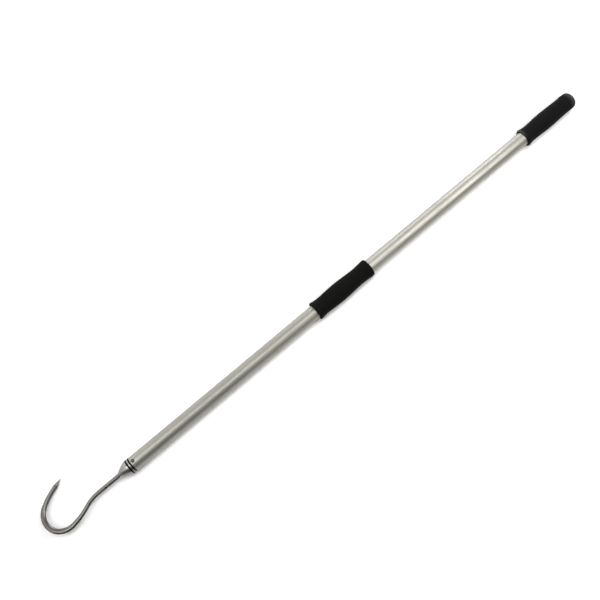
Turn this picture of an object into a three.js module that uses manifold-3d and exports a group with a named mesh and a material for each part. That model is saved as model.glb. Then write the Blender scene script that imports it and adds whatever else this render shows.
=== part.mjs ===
// A fishing gaff: an aluminium pole with two foam grips, and a bent steel hook held in a turned nose.
// Lengths are in millimetres. X runs along the pole's axis from the butt towards the hook, and Z is up.
// The origin is the centre of the butt's flat end. The gaff lies on its grips and on the hook's point.

import * as THREE from 'three';
import { mergeVertices } from 'three/addons/utils/BufferGeometryUtils.js';
import Module from 'manifold-3d';

const wasm = await Module();
wasm.setup();

const { degToRad, lerp, smoothstep } = THREE.MathUtils;

// Clearances, and how far a cutting shape overruns what it cuts
const seatGap = 0.3;
const slipGap = 0.3;
const pressGap = 0.15;
const overrun = 2;

// Pole tube
const tubeLength = 1000;
const tubeRadius = 12.7;
const tubeWall = 1.6;

// Foam grips: the foam's thickness over the tube, and where along the grip it has that thickness, counted
// from the front lip as a share of the length
const gripLength = 123;
const gripLipWall = 4.4;
const gripLipWidth = 2;
const gripLipRounding = 1.6;
const gripNeckWall = 2.8;
const gripCrownWall = 4.1;
const gripWaistWall = 2.3;
const gripFlareShare = 0.07;
const gripFlareRiseShare = 0.36;
const gripNeckShare = 0.16;
const gripCrownShare = 0.44;
const gripWaistShare = 0.77;

// Middle grip: how far it sits behind the tube's front end, and its rounded tail
const middleGripSetback = 397;
const middleGripTailWall = 3.8;
const middleGripTailRounding = 2.6;
const middleGripTailShare = 0.955;

// Rear grip: trimmed shorter, its foam thinner at the neck and the crown, and closed by a rounded butt
const rearGripLength = 121;
const rearGripThinning = 0.6;
const rearGripHeelWall = 2.45;
const rearGripHeelShare = 0.87;
const rearGripButtRounding = 8;
const rearGripButtThickness = 7;

// Butt plug inside the rear grip
const plugFlangeThickness = 2.4;
const plugLength = 24;
const plugRibCount = 3;
const plugRibPitch = 6;
const plugRibWidth = 2;
const plugRibHeight = 0.9;
const plugWall = 2;

// Rubber rings at the nose, and the gap on either side of one
const ringSection = 2.5;
const ringSideGap = 0.1;

// Turned nose: the land between the rings, the cone, and the hollow spigot inside the tube
const landWidth = 2.4;
const landInset = 0.25;
const coneLength = 20;
const coneRimWidth = 1.6;
const coneRimRounding = 8;
const coneRimTurn = degToRad(28);
const coneBulge = 0.6;
const coneTipWall = 0.65;
const coneTipRounding = 0.5;
const spigotLength = 24;
const spigotWall = 2.9;
const spigotChamfer = 0.4;
const webFrontReach = 12;
const webThickness = 5;

// Hook: a bar of steel, turned down to a tang at one end, ground to a point at the other, and bent
const barRadius = 3.75;
const tangRadius = 3;
const tangStickout = 1.4;
const tangChamfer = 0.5;
const shankStraight = 44.5;
const kneeRadius = 65;
const kneeTurn = degToRad(25.3);
const throatRadius = 100;
const throatTurn = degToRad(-20);
const bendRadius = 32;
const bendTurn = degToRad(-150.9);
const legRadius = 100;
const legTurn = degToRad(-15);
const legStraight = 24;
const pointLength = 12.5;
const pointShoulder = 0.45;
const pointTipRadius = 0.35;
const pointTaperPower = 1.15;

// Where the bar is hammered flat in the bend: wider across the hook, thinner through it
const forgeWidenShare = 0.2;
const forgeFlattenShare = 0.16;
const forgeFadeShare = 0.25;

// Washer and lock nut on the tang, inside the spigot
const washerRadius = 6;
const washerThickness = 1.6;
const nutFlatWidth = 10;
const nutSides = 6;
const nutSteelHeight = 4.6;
const nutCollarHeight = 1.4;
const nutCollarWall = 0.4;
const nutChamfer = 0.5;
const insertWall = 0.9;

// Blind rivets through tube and spigot, close behind the tube's front end
const rivetSetback = 4.6;
const rivetHoleRadius = 1.7;
const rivetHeadRadius = 3.2;
const rivetHeadRise = 1.35;
const rivetHeadRim = 0.3;
const rivetTailRadius = 2.2;
const rivetTailLength = 1.9;
const rivetTailSwellShare = 0.33;
const rivetBoreRadius = 1;
const rivetStemRecess = 0.3;
const rivetStemHeadHeight = 1;

// Number of facets round each kind of piece, and of steps along each kind of curve
const poleFacets = 44;
const gripFacets = 40;
const barFacets = 16;
const ringFacets = 10;
const smallFacets = 20;
const gripWaveSteps = 15;
const gripLipSteps = 3;
const gripTailSteps = 4;
const coneRimSteps = 3;
const coneFlankSteps = 5;
const pointSteps = 4;
const domeSteps = 4;
const barStepTurn = degToRad(6);

// Places along the pole, from the butt
const plugBack = rearGripButtThickness + seatGap;
const plugFlangeFront = plugBack + plugFlangeThickness;
const tubeBack = plugFlangeFront + seatGap;
const tubeFront = tubeBack + tubeLength;
const ringSlot = ringSection + 2 * ringSideGap;
const landBack = tubeFront + ringSlot;
const landFront = landBack + landWidth;
const coneBack = landFront + ringSlot;
const coneFront = coneBack + coneLength;
const spigotBack = tubeFront - spigotLength;
const webFront = tubeFront + webFrontReach;
const webBack = webFront - webThickness;
const barBack = webFront + seatGap;
const rivetStation = tubeFront - rivetSetback;
const washerFront = webBack - seatGap;
const washerBack = washerFront - washerThickness;
const nutFront = washerBack - seatGap;
const nutHexBack = nutFront - nutSteelHeight;
const nutBack = nutHexBack - nutCollarHeight;
const tangBack = nutBack - tangStickout;

// Radii that fit one another
const tubeBoreRadius = tubeRadius - tubeWall;
const gripBoreRadius = tubeRadius + slipGap;
const gripLipRadius = gripBoreRadius + gripLipWall;
const spigotRadius = tubeBoreRadius - slipGap;
const hollowRadius = spigotRadius - spigotWall;
const ringFloorRadius = tubeRadius - ringSection - seatGap;
const ringCentreRadius = tubeRadius - ringSection / 2;
const boreRadius = barRadius + seatGap;
const coneTipRadius = boreRadius + coneTipWall;
const tangBoreRadius = tangRadius + seatGap;
const insertSeatRadius = tangRadius + pressGap + insertWall + pressGap;
const nutCollarRadius = insertSeatRadius + nutCollarWall;

// Heights of a rivet above the pole's axis: the tail hangs inside the spigot, and the head's skirt meets the
// tube's round side, so both allow for how far a round wall falls away over the width that sits on it
const rivetTailTop = hollowRadius - seatGap - rivetTailRadius ** 2 / (2 * hollowRadius);
const rivetTailEnd = rivetTailTop - rivetTailLength;
const rivetSkirt = tubeRadius - rivetHeadRadius ** 2 / (2 * tubeRadius);
const rivetRimTop = rivetSkirt + seatGap + rivetHeadRim;
const rivetHeadTop = tubeRadius + seatGap + rivetHeadRise;

// Colour, roughness and metalness of each finish
const finish = {
  tube: { color: 0xc9c6bb, roughness: 0.42, metalness: 0.9 },
  nose: { color: 0xc4c3bf, roughness: 0.25, metalness: 0.95 },
  hook: { color: 0x8d8b86, roughness: 0.3, metalness: 1 },
  rubber: { color: 0x111110, roughness: 0.55, metalness: 0 },
  foam: { color: 0x1c1c1b, roughness: 0.95, metalness: 0 },
  rivet: { color: 0xa9a59b, roughness: 0.35, metalness: 0.9 },
  steel: { color: 0xb4b4b2, roughness: 0.3, metalness: 1 },
  nylon: { color: 0xd8dbe0, roughness: 0.6, metalness: 0 },
  plug: { color: 0x202226, roughness: 0.5, metalness: 0 },
};

// A lathe turns about its own Y axis. These lay that axis along the pole, or stand it up across the pole.
const alongPole = new THREE.Matrix4().makeBasis(
  new THREE.Vector3(0, -1, 0),
  new THREE.Vector3(1, 0, 0),
  new THREE.Vector3(0, 0, 1),
);
const acrossPole = new THREE.Matrix4().makeBasis(
  new THREE.Vector3(1, 0, 0),
  new THREE.Vector3(0, 0, 1),
  new THREE.Vector3(0, -1, 0),
);

// A point of a lathe outline: a radius, and a station along the axis
function ring(radius, station) {
  return new THREE.Vector2(radius, station);
}

// Points of an arc of an outline about a centre, for its rounded corners
function rounding(centre, size, fromAngle, toAngle, steps) {
  const points = [];
  for (let i = 0; i <= steps; i += 1) {
    const angle = lerp(fromAngle, toAngle, i / steps);
    points.push(ring(centre.x + size * Math.cos(angle), centre.y + size * Math.sin(angle)));
  }
  return points;
}

// Shared vertices merged and empty triangles dropped, so that the surface is one closed skin
function closedSkin(geometry) {
  const bare = geometry.clone();
  bare.deleteAttribute('normal');
  bare.deleteAttribute('uv');
  const merged = mergeVertices(bare);
  const index = merged.getIndex().array;
  const kept = [];
  for (let i = 0; i < index.length; i += 3) {
    const [a, b, c] = [index[i], index[i + 1], index[i + 2]];
    if (a !== b && b !== c && c !== a) kept.push(a, b, c);
  }
  merged.setIndex(kept);
  return merged;
}

// A solid for joining and cutting, and the way back to a geometry
function toSolid(geometry) {
  const skin = closedSkin(geometry);
  const vertProperties = new Float32Array(skin.getAttribute('position').array);
  const triVerts = new Uint32Array(skin.getIndex().array);
  return new wasm.Manifold(new wasm.Mesh({ numProp: 3, vertProperties, triVerts }));
}

function toGeometry(solid) {
  const { vertProperties, triVerts } = solid.getMesh();
  const geometry = new THREE.BufferGeometry();
  geometry.setAttribute('position', new THREE.BufferAttribute(new Float32Array(vertProperties), 3));
  geometry.setIndex(new THREE.BufferAttribute(new Uint32Array(triVerts), 1));
  return geometry;
}

// A turned form from a closed outline, or from one that starts and ends on the axis
function turned(outline, facets, lay = alongPole) {
  return closedSkin(new THREE.LatheGeometry(outline, facets)).applyMatrix4(lay);
}

// A plain sleeve between two stations
function sleeve(outerRadius, innerRadius, back, front, facets) {
  const outline = [
    ring(innerRadius, back),
    ring(outerRadius, back),
    ring(outerRadius, front),
    ring(innerRadius, front),
    ring(innerRadius, back),
  ];
  return turned(outline, facets);
}

function namedMesh(name, geometry, look) {
  const mesh = new THREE.Mesh(geometry, new THREE.MeshStandardMaterial(look));
  mesh.name = name;
  return mesh;
}

// The drill that makes both rivet holes in one pass, through the pole
function rivetDrill() {
  const drillLength = 2 * (tubeRadius + overrun);
  const drill = new THREE.CylinderGeometry(rivetHoleRadius, rivetHoleRadius, drillLength, smallFacets);
  drill.applyMatrix4(acrossPole).translate(rivetStation, 0, 0);
  return toSolid(drill);
}

// Pole: a drawn tube, drilled for the rivets
function poleTube() {
  const tube = sleeve(tubeRadius, tubeBoreRadius, tubeBack, tubeFront, poleFacets);
  return toGeometry(toSolid(tube).subtract(rivetDrill()));
}

// Butt plug: a flange on the tube's end and a hollow, ribbed stub inside it
function buttPlug() {
  const ribRadius = tubeBoreRadius - slipGap;
  const stubRadius = ribRadius - plugRibHeight;
  const cupRadius = stubRadius - plugWall;
  const stubFront = plugFlangeFront + plugLength;
  const outline = [
    ring(0, plugBack),
    ring(tubeRadius, plugBack),
    ring(tubeRadius, plugFlangeFront),
    ring(stubRadius, plugFlangeFront),
  ];
  for (let i = 1; i <= plugRibCount; i += 1) {
    const ribFront = plugFlangeFront + i * plugRibPitch;
    outline.push(ring(stubRadius, ribFront - plugRibWidth));
    outline.push(ring(ribRadius, ribFront - plugRibWidth / 2));
    outline.push(ring(stubRadius, ribFront));
  }
  outline.push(ring(stubRadius, stubFront));
  outline.push(ring(cupRadius, stubFront));
  outline.push(ring(cupRadius, plugFlangeFront));
  outline.push(ring(0, plugFlangeFront));
  return turned(outline, smallFacets);
}

// The waved outline that both grips share, from the front lip back to the waist and on to a tail
function gripWave(front, thinning, tailShare, tailRadius) {
  const neckRadius = gripBoreRadius + gripNeckWall - thinning;
  const crownRadius = gripBoreRadius + gripCrownWall - thinning;
  const flareRadius = lerp(neckRadius, gripLipRadius, gripFlareRiseShare);
  const knots = [
    ring(gripLipRadius, front - gripLipWidth),
    ring(flareRadius, front - gripFlareShare * gripLength),
    ring(neckRadius, front - gripNeckShare * gripLength),
    ring(crownRadius, front - gripCrownShare * gripLength),
    ring(gripBoreRadius + gripWaistWall, front - gripWaistShare * gripLength),
    ring(tailRadius, front - tailShare * gripLength),
  ];
  return new THREE.SplineCurve(knots).getPoints(gripWaveSteps);
}

// The rounded rim of a grip's front lip, from its bore out to its edge
function gripLip(front) {
  const centre = ring(gripLipRadius - gripLipRounding, front - gripLipRounding);
  return [ring(gripBoreRadius, front), ...rounding(centre, gripLipRounding, Math.PI / 2, 0, gripLipSteps)];
}

// Middle grip: open at both ends, with a lip in front and a rounded tail behind
function middleGrip() {
  const front = tubeFront - middleGripSetback;
  const back = front - gripLength;
  const tailRadius = gripBoreRadius + middleGripTailWall;
  const tailCentre = ring(tailRadius - middleGripTailRounding, back + middleGripTailRounding);
  const outline = [
    ...gripLip(front),
    ...gripWave(front, 0, middleGripTailShare, tailRadius),
    ...rounding(tailCentre, middleGripTailRounding, 0, -Math.PI / 2, gripTailSteps),
    ring(gripBoreRadius, back),
    ring(gripBoreRadius, front),
  ];
  return turned(outline.reverse(), gripFacets);
}

// Rear grip: the same wave, closed by a rounded butt with a flat end
function rearGrip() {
  const front = rearGripLength;
  const heelRadius = gripBoreRadius + rearGripHeelWall;
  const buttCentre = ring(heelRadius - rearGripButtRounding, rearGripButtRounding);
  const outline = [
    ring(0, rearGripButtThickness),
    ring(gripBoreRadius, rearGripButtThickness),
    ...gripLip(front),
    ...gripWave(front, rearGripThinning, rearGripHeelShare, heelRadius),
    ...rounding(buttCentre, rearGripButtRounding, 0, -Math.PI / 2, gripTailSteps),
    ring(0, 0),
  ];
  return turned(outline.reverse(), gripFacets);
}

// Cone of the nose: a narrow rim, a rounded shoulder and a slightly bulged flank down to the hook
function coneOutline() {
  const rimCentre = ring(tubeRadius - coneRimRounding, coneBack + coneRimWidth);
  const shoulder = rounding(rimCentre, coneRimRounding, 0, coneRimTurn, coneRimSteps);
  const flankBack = shoulder.at(-1);
  const flankFront = ring(coneTipRadius, coneFront - coneTipRounding);
  const middle = flankBack.clone().lerp(flankFront, 1 / 2);
  middle.x += 2 * coneBulge;
  const flank = new THREE.QuadraticBezierCurve(flankBack, middle, flankFront).getPoints(coneFlankSteps);
  return [
    ring(tubeRadius, coneBack),
    ...shoulder,
    ...flank.slice(1),
    ring(coneTipRadius - coneTipRounding, coneFront),
  ];
}

// Nose: hollow spigot, seat for the tube's ring, land, ring groove and cone, turned from one bar and bored
function noseCone() {
  const landRadius = tubeRadius - landInset;
  const outline = [
    ring(hollowRadius, spigotBack),
    ring(spigotRadius - spigotChamfer, spigotBack),
    ring(spigotRadius, spigotBack + spigotChamfer),
    ring(spigotRadius, tubeFront),
    ring(ringFloorRadius, tubeFront),
    ring(ringFloorRadius, landBack),
    ring(landRadius, landBack),
    ring(landRadius, landFront),
    ring(ringFloorRadius, landFront),
    ring(ringFloorRadius, coneBack),
    ...coneOutline(),
    ring(boreRadius, coneFront),
    ring(boreRadius, webFront),
    ring(tangBoreRadius, webFront),
    ring(tangBoreRadius, webBack),
    ring(hollowRadius, webBack),
    ring(hollowRadius, spigotBack),
  ];
  return toGeometry(toSolid(turned(outline, poleFacets)).subtract(rivetDrill()));
}

// Rubber ring with a round section, centred in its slot
function rubberRing(slotBack) {
  const centre = ring(ringCentreRadius, slotBack + ringSlot / 2);
  const outline = rounding(centre, ringSection / 2, 0, 2 * Math.PI, ringFacets);
  outline.at(-1).copy(outline[0]);
  return turned(outline, poleFacets);
}

// Where the hook's centreline is after a distance along one of its lines or arcs, in the hook's own plane
function pointOnLeg(leg, distance) {
  const ahead = new THREE.Vector2(Math.cos(leg.heading), Math.sin(leg.heading));
  if (!leg.turn) return leg.start.clone().addScaledVector(ahead, distance);
  const side = Math.sign(leg.turn);
  const inward = new THREE.Vector2(-ahead.y, ahead.x).multiplyScalar(side);
  const centre = leg.start.clone().addScaledVector(inward, leg.radius);
  return leg.start.clone().rotateAround(centre, side * distance / leg.radius);
}

// The hook's centreline from the tang's end: a straight shank, a knee, a throat, the bend, the leg, the point
function hookRun() {
  const plan = [
    { length: coneFront + shankStraight - tangBack },
    { radius: kneeRadius, turn: kneeTurn },
    { radius: throatRadius, turn: throatTurn },
    { radius: bendRadius, turn: bendTurn },
    { radius: legRadius, turn: legTurn },
    { length: legStraight },
  ];
  const legs = [];
  const start = new THREE.Vector2(tangBack, 0);
  let heading = 0;
  let travelled = 0;
  for (const { length, radius, turn = 0 } of plan) {
    const span = length ?? radius * Math.abs(turn);
    const leg = { from: travelled, span, start: start.clone(), heading, radius, turn };
    legs.push(leg);
    start.copy(pointOnLeg(leg, span));
    heading += turn;
    travelled += span;
  }
  return { legs, length: travelled };
}

// The centreline's point and heading at a distance from the tang's end
function hookPlace(run, distance) {
  const leg = run.legs.findLast((candidate) => distance >= candidate.from) ?? run.legs[0];
  const along = distance - leg.from;
  const swept = leg.turn ? Math.sign(leg.turn) * along / leg.radius : 0;
  return { point: pointOnLeg(leg, along), heading: leg.heading + swept };
}

// How strongly the bar is hammered flat at a distance along it: fully in the bend, fading on either side
function forgedShare(run, distance) {
  const [, , throat, bend, leg] = run.legs;
  const fade = forgeFadeShare * bend.span;
  const rise = smoothstep(distance, throat.from, bend.from + fade);
  const fall = smoothstep(distance, leg.from - fade, leg.from + leg.span);
  return rise * (1 - fall);
}

// Ground point: a small step down from the bar, then a taper to a tiny blunt end
function pointOutline(length) {
  const back = length - pointLength;
  const foot = ring(barRadius - pointShoulder, back + pointShoulder);
  const tip = ring(pointTipRadius, length - pointTipRadius);
  const points = [ring(barRadius, back), foot];
  for (let i = 1; i <= pointSteps; i += 1) {
    const share = i / pointSteps;
    points.push(ring(lerp(foot.x, tip.x, share ** pointTaperPower), lerp(foot.y, tip.y, share)));
  }
  points.push(ring(0, length));
  return points;
}

// Straight blank of the hook: tang, shoulder and bar, with a ring of points wherever the bends will need one
function hookBlank(run) {
  const shoulder = barBack - tangBack;
  const pointBack = run.length - pointLength;
  const outline = [
    ring(0, 0),
    ring(tangRadius - tangChamfer, 0),
    ring(tangRadius, tangChamfer),
    ring(tangRadius, shoulder),
    ring(barRadius, shoulder),
  ];
  for (const leg of run.legs) {
    const steps = Math.max(1, Math.ceil(Math.abs(leg.turn) / barStepTurn));
    for (let i = 1; i <= steps; i += 1) {
      const station = leg.from + leg.span * i / steps;
      if (station < pointBack - barRadius) outline.push(ring(barRadius, station));
    }
  }
  return turned([...outline, ...pointOutline(run.length)], barFacets);
}

// Hook: every ring of the blank is carried onto the bent centreline, and flattened where it is forged
function hook() {
  const run = hookRun();
  const blank = hookBlank(run);
  const place = blank.getAttribute('position');
  for (let i = 0; i < place.count; i += 1) {
    const distance = place.getX(i);
    const { point, heading } = hookPlace(run, distance);
    const forged = forgedShare(run, distance);
    const across = place.getY(i) * (1 + forgeWidenShare * forged);
    const up = place.getZ(i) * (1 - forgeFlattenShare * forged);
    place.setXYZ(i, point.x - across * Math.sin(heading), point.y + across * Math.cos(heading), up);
  }
  return blank;
}

// Washer between the nut and the nose's web
function hookWasher() {
  return sleeve(washerRadius, tangBoreRadius, washerBack, washerFront, smallFacets);
}

// Lock nut: a hexagon with chamfered corners and a round collar that holds the nylon insert
function hookLockNut() {
  const cornerRadius = nutFlatWidth / 2 / Math.cos(Math.PI / nutSides);
  const stock = new THREE.CylinderGeometry(
    cornerRadius,
    cornerRadius,
    nutFront - nutBack + 2 * overrun,
    nutSides,
  );
  stock.applyMatrix4(alongPole).translate((nutFront + nutBack) / 2, 0, 0);
  const envelope = turned([
    ring(0, nutBack),
    ring(nutCollarRadius - nutChamfer, nutBack),
    ring(nutCollarRadius, nutBack + nutChamfer),
    ring(nutCollarRadius, nutHexBack),
    ring(cornerRadius - nutChamfer, nutHexBack),
    ring(cornerRadius + nutChamfer, nutHexBack + nutChamfer),
    ring(cornerRadius + nutChamfer, nutFront - nutChamfer),
    ring(cornerRadius - nutChamfer, nutFront),
    ring(0, nutFront),
  ], poleFacets);
  const bore = turned([
    ring(0, nutBack - overrun),
    ring(insertSeatRadius, nutBack - overrun),
    ring(insertSeatRadius, nutHexBack),
    ring(tangBoreRadius, nutHexBack),
    ring(tangBoreRadius, nutFront + overrun),
    ring(0, nutFront + overrun),
  ], smallFacets);
  return toGeometry(toSolid(stock).intersect(toSolid(envelope)).subtract(toSolid(bore)));
}

// Nylon ring pressed into the nut's collar
function lockNutInsert() {
  const innerRadius = tangRadius + pressGap;
  const outerRadius = innerRadius + insertWall;
  return sleeve(outerRadius, innerRadius, nutBack + pressGap, nutHexBack - pressGap, smallFacets);
}

// Blind rivet, set: a domed head drawn down onto the tube, a shank through both walls and a swelled tail
function blindRivet() {
  const shankRadius = rivetHoleRadius - pressGap;
  const shankTop = rivetHeadTop - rivetHeadRise / 2;
  const tailSwell = rivetTailSwellShare * rivetTailLength;
  const headOutline = [ring(rivetBoreRadius, rivetSkirt), ring(rivetHeadRadius, rivetSkirt)];
  const domeTurn = Math.acos(rivetBoreRadius / rivetHeadRadius);
  for (let i = 0; i <= domeSteps; i += 1) {
    const angle = domeTurn * i / domeSteps;
    const height = lerp(rivetRimTop, rivetHeadTop, Math.sin(angle));
    headOutline.push(ring(rivetHeadRadius * Math.cos(angle), height));
  }
  headOutline.push(ring(rivetBoreRadius, rivetSkirt));
  const shankOutline = [
    ring(rivetBoreRadius, rivetTailEnd),
    ring(rivetTailRadius - pressGap, rivetTailEnd),
    ring(rivetTailRadius, rivetTailEnd + tailSwell),
    ring(rivetTailRadius, rivetTailTop - tailSwell),
    ring(shankRadius, rivetTailTop),
    ring(shankRadius, shankTop),
    ring(rivetBoreRadius, shankTop),
    ring(rivetBoreRadius, rivetTailEnd),
  ];
  const seatRadius = tubeRadius + seatGap;
  const seatLength = 2 * (rivetHeadRadius + overrun);
  const seat = new THREE.CylinderGeometry(seatRadius, seatRadius, seatLength, poleFacets);
  const head = toSolid(turned(headOutline, smallFacets, acrossPole));
  const shank = toSolid(turned(shankOutline, smallFacets, acrossPole));
  return toGeometry(head.subtract(toSolid(seat.applyMatrix4(alongPole))).add(shank));
}

// The stem left in a set rivet: its wide end grips the tail, and it ends just inside the head
function rivetStem() {
  const stemRadius = rivetBoreRadius - pressGap;
  const headRadius = (rivetBoreRadius + rivetTailRadius) / 2;
  const headTop = rivetTailEnd - pressGap;
  const headBottom = headTop - rivetStemHeadHeight;
  const stemTop = rivetHeadTop - rivetStemRecess;
  return turned([
    ring(0, headBottom),
    ring(stemRadius, headBottom),
    ring(headRadius, headTop - rivetStemHeadHeight / 2),
    ring(headRadius, headTop),
    ring(stemRadius, headTop),
    ring(stemRadius, stemTop - pressGap),
    ring(0, stemTop),
  ], smallFacets, acrossPole);
}

// A rivet and its stem, on the upper or the lower side of the pole
function rivetPair(side, turn) {
  const pair = new THREE.Group();
  pair.add(namedMesh(`${side}_rivet`, blindRivet(), finish.rivet));
  pair.add(namedMesh(`${side}_rivet_stem`, rivetStem(), finish.steel));
  pair.position.set(rivetStation, 0, 0);
  pair.rotation.x = turn;
  return pair;
}

// The pole rolls on its round grips until the foot of the hook's point lies on the same surface as they do
function lieTurn() {
  const run = hookRun();
  const foot = hookPlace(run, run.length - pointLength).point;
  return Math.asin((gripLipRadius - barRadius) / Math.abs(foot.y));
}

const gaff = new THREE.Group();
gaff.add(namedMesh('pole_tube', poleTube(), finish.tube));
gaff.add(namedMesh('butt_plug', buttPlug(), finish.plug));
gaff.add(namedMesh('rear_grip', rearGrip(), finish.foam));
gaff.add(namedMesh('middle_grip', middleGrip(), finish.foam));
gaff.add(namedMesh('nose_cone', noseCone(), finish.nose));
gaff.add(namedMesh('tube_end_o_ring', rubberRing(tubeFront), finish.rubber));
gaff.add(namedMesh('cone_o_ring', rubberRing(landFront), finish.rubber));
gaff.add(namedMesh('hook', hook(), finish.hook));
gaff.add(namedMesh('hook_washer', hookWasher(), finish.steel));
gaff.add(namedMesh('hook_lock_nut', hookLockNut(), finish.steel));
gaff.add(namedMesh('lock_nut_insert', lockNutInsert(), finish.nylon));
gaff.add(rivetPair('upper', 0));
gaff.add(rivetPair('lower', Math.PI));
gaff.rotation.x = lieTurn();

const model = new THREE.Group();
model.add(gaff);

export default model;
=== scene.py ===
import math

import bmesh
import bpy
from mathutils import Matrix, Vector


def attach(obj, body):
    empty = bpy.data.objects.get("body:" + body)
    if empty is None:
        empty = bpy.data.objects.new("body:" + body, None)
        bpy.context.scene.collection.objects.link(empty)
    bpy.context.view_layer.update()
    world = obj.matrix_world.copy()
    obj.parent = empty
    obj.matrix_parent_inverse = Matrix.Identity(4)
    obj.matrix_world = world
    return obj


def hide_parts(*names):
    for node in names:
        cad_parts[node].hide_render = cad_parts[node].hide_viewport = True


# Looks of a fishing gaff: satin aluminium pole, black foam grips, and a bent steel hook in a turned nose.
# Sizes are in millimetres and turned into metres where a mesh is made. X runs along the pole towards the hook.

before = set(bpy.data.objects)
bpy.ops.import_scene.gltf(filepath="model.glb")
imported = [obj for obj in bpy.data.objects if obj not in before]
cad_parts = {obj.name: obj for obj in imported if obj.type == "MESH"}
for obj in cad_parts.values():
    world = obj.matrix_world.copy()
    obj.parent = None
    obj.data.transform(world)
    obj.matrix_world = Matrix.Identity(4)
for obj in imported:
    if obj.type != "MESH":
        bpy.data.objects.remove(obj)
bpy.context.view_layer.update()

MM = 0.001

# Pole tube
tube_length = 1000
tube_radius = 12.7
tube_wall = 1.6
tube_deburr = 0.25
tube_steps = 24

# Foam grips
grip_length = 123
grip_lip_wall = 4.4
grip_lip_width = 2
grip_lip_rounding = 1.6
grip_neck_wall = 2.8
grip_crown_wall = 4.1
grip_waist_wall = 2.3
grip_flare_share = 0.07
grip_flare_rise_share = 0.36
grip_neck_share = 0.16
grip_crown_share = 0.44
grip_waist_share = 0.77
middle_grip_setback = 397
middle_grip_tail_wall = 3.8
middle_grip_tail_rounding = 2.6
middle_grip_tail_share = 0.955
middle_grip_lip_flat = 1.2
rear_grip_length = 121
rear_grip_thinning = 0.6
rear_grip_heel_wall = 2.7
rear_grip_heel_share = 0.87
rear_grip_butt_rounding = 8
rear_grip_butt_thickness = 7
rear_grip_butt_bulge = 0.9
# reach of the painted highlights on the rear grip's butt and lip
butt_highlight_reach = 16
lip_highlight_reach = 6
rear_grip_lip_rounding = 3.2
rear_grip_lip_inset = 0.3
rear_grip_lip_flat = 0.6

# Butt plug
plug_flange_thickness = 2.4
plug_length = 24
plug_rib_count = 3
plug_rib_pitch = 6
plug_rib_width = 2
plug_rib_height = 0.9
plug_wall = 2

# Rubber rings and nose
ring_section = 2.5
ring_side_gap = 0.1
ring_wall_gap = 0.02
ring_seam = 0.03
ring_spread_share = 0.12
ring_outer_power = 0.6
ring_side_power = 0.35
tube_end_ring_bulge = 0.22
cone_ring_bulge = 0.35
land_width = 2.4
land_inset = 0.25
cone_length = 20
cone_rim_width = 1.6
cone_rim_rounding = 8
cone_rim_turn = math.radians(19.5)
cone_bulge = 0.6
cone_tip_wall = 0.65
cone_tip_rounding = 0.5
spigot_length = 24
spigot_wall = 2.9
spigot_chamfer = 0.4
web_front_reach = 12
web_thickness = 5

# Hook
bar_radius = 3.75
tang_radius = 3
tang_stickout = 1.4
tang_chamfer = 0.5
thread_pitch = 1
thread_depth = 0.5
shank_straight = 43.3
knee_radius = 66
knee_turn = math.radians(25.3)
throat_radius = 101
throat_turn = math.radians(-20)
bend_radius = 31.75
bend_turn = math.radians(-148.9)
leg_radius = 100
leg_turn = math.radians(-15.2)
leg_straight = 24.3
point_length = 12.5
point_shoulder = 0.45
point_tip_radius = 0.35
point_taper_power = 1.15
# how far the painted shade behind the point's shoulder reaches
point_shade_reach = 1.6
forge_widen_share = 0.24
forge_flatten_share = 0.16
forge_fade_share = 0.25

# Washer, lock nut and its nylon ring
washer_radius = 6
washer_thickness = 1.6
nut_flat_width = 10
nut_sides = 6
nut_steel_height = 4.6
nut_collar_height = 1.4
nut_collar_wall = 0.4
nut_chamfer = 0.5
nut_step = 0.05
nut_mouth_width = 0.45
nut_mouth_depth = 0.35
nut_bore_air = 0.04
insert_wall = 0.9

# Blind rivets
rivet_setback = 4.6
rivet_hole_radius = 1.7
rivet_hole_margin = 2.6
rivet_head_radius = 3.2
rivet_head_rise = 1.35
rivet_head_rim = 0.3
rivet_tail_radius = 2.2
rivet_tail_length = 1.9
rivet_tail_swell = 0.6
rivet_bore_radius = 1
rivet_lip_width = 0.15
rivet_lip_drop = 0.12
rivet_stem_recess = 0.3
rivet_stem_head_height = 1
rivet_stem_break_drop = 0.1
rivet_stem_break_depth = 0.25

# Air between pieces
seat_gap = 0.3
slip_gap = 0.3
press_gap = 0.15
head_gap = 0.03

# Rounded corners
corner_steps = 4
corner_support = 0.1

# Places along the pole
plug_back = rear_grip_butt_thickness + seat_gap
plug_flange_front = plug_back + plug_flange_thickness
tube_back = plug_flange_front + seat_gap
tube_front = tube_back + tube_length
ring_slot = ring_section + 2 * ring_side_gap
land_back = tube_front + ring_slot
land_front = land_back + land_width
cone_back = land_front + ring_slot
cone_front = cone_back + cone_length
spigot_back = tube_front - spigot_length
web_front = tube_front + web_front_reach
web_back = web_front - web_thickness
bar_back = web_front + seat_gap
rivet_station = tube_front - rivet_setback
rivet_hole_back = rivet_station - rivet_hole_margin
rivet_hole_front = rivet_station + rivet_hole_margin
washer_front = web_back - seat_gap
washer_back = washer_front - washer_thickness
nut_front = washer_back - seat_gap
nut_hex_back = nut_front - nut_steel_height
nut_back = nut_hex_back - nut_collar_height
tang_back = nut_back - tang_stickout

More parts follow.
